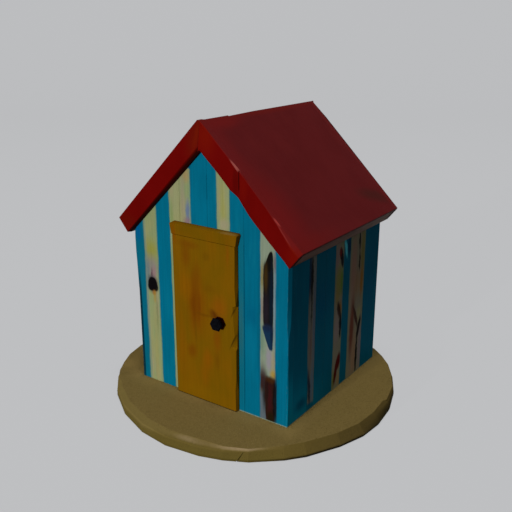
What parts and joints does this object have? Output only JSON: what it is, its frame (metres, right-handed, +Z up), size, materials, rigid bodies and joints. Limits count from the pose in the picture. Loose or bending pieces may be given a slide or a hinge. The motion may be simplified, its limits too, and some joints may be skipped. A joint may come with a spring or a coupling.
{
  "type": "wooden model beach hut",
  "caption": "Wooden model of a striped beach hut with a steep red roof and a hinged plank door, on a round sand-coated base board.",
  "frame": {"origin": "centre of the base board's underside", "axes": "-Y out of the front, the side with the door; +X to the right of someone facing the door; +Z up"},
  "size_m": [0.1956, 0.1952, 0.1913],
  "materials": {
    "sanded_base": "sand-coated",
    "striped_paint": "satin paint, blue and cream stripes, worn at the knots",
    "red_paint": "gloss paint",
    "ochre_paint": "satin paint",
    "bare_pine": "sawn",
    "black_knob": "black paint",
    "rusty_rose": "rusted",
    "brass_pin": "drawn"
  },
  "bodies": {
    "hut": {"base_disc": "sanded_base", "front_wall_left": "striped_paint", "front_wall_right": "striped_paint", "front_wall_over_door": "striped_paint", "back_wall": "striped_paint", "left_wall": "striped_paint", "right_wall": "striped_paint", "roof_panel_left": "red_paint", "roof_panel_right": "red_paint", "bargeboard_front_left": "red_paint", "bargeboard_front_right": "red_paint", "bargeboard_back_left": "red_paint", "bargeboard_back_right": "red_paint", "door_head": "ochre_paint", "floor_board": "bare_pine", "door_threshold": "bare_pine", "corner_batten_front_left": "bare_pine", "corner_batten_front_right": "bare_pine", "corner_batten_back_left": "bare_pine", "corner_batten_back_right": "bare_pine", "eaves_batten_left": "bare_pine", "eaves_batten_right": "bare_pine", "ridge_batten": "bare_pine", "doorway_header": "bare_pine"},
    "door": {"door_leaf": "ochre_paint", "door_knob": "black_knob", "knob_rose": "rusty_rose", "hinge_pin_top": "brass_pin", "hinge_pin_foot": "brass_pin"}
  },
  "joints": [
    {"name": "door_hinge", "type": "hinge", "parent": "hut", "child": "door", "pos_m": [-0.0267, -0.05095, 0.063], "axis": [0, 0, -1], "range_deg": [0, 110]}
  ]
}
